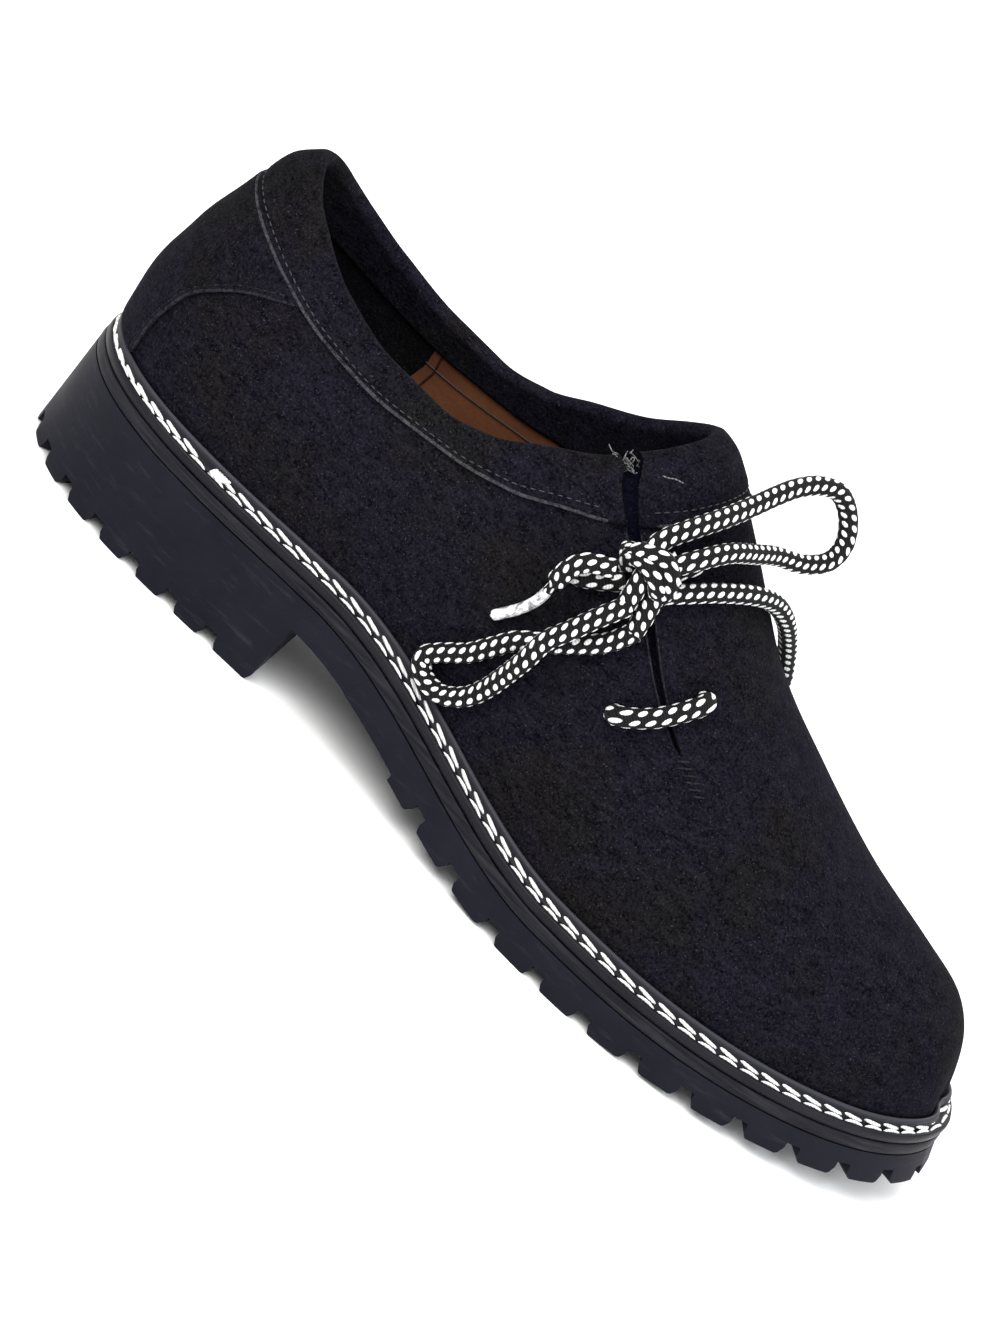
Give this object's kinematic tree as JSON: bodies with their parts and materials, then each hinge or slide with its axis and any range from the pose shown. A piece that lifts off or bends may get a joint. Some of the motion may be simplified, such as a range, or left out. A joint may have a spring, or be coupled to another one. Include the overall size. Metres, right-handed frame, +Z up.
{
  "type": "traditional laced shoe",
  "caption": "Low suede folk shoe laced at the outer side, with a collar band, a stitched welt and a lugged rubber sole with a block heel.",
  "frame": {"origin": "middle of the shoe's box without the lace's loose parts, on the floor under the sole", "axes": "+X to the toe, +Y to the inner side of the foot, +Z up"},
  "size_m": [0.3048, 0.1062, 0.1298],
  "materials": {
    "suede": "suede nap",
    "rubber": "matte",
    "midsole": "matte",
    "welt": "waxed",
    "lining": "smooth",
    "gusset": "suede nap",
    "lace": "braided",
    "aglet": "clear film"
  },
  "bodies": {
    "root": {"outsole": "rubber", "midsole": "midsole", "welt": "welt", "insole": "lining", "upper": "suede", "collar_band": "suede", "heel_counter": "suede", "tongue": "gusset", "lace": "lace", "lace_knot": "lace", "lace_loop_low": "lace", "lace_loop_high": "lace", "lace_end_low": "lace", "lace_end_high": "lace", "aglet_low": "aglet", "aglet_high": "aglet"}
  },
  "joints": []
}
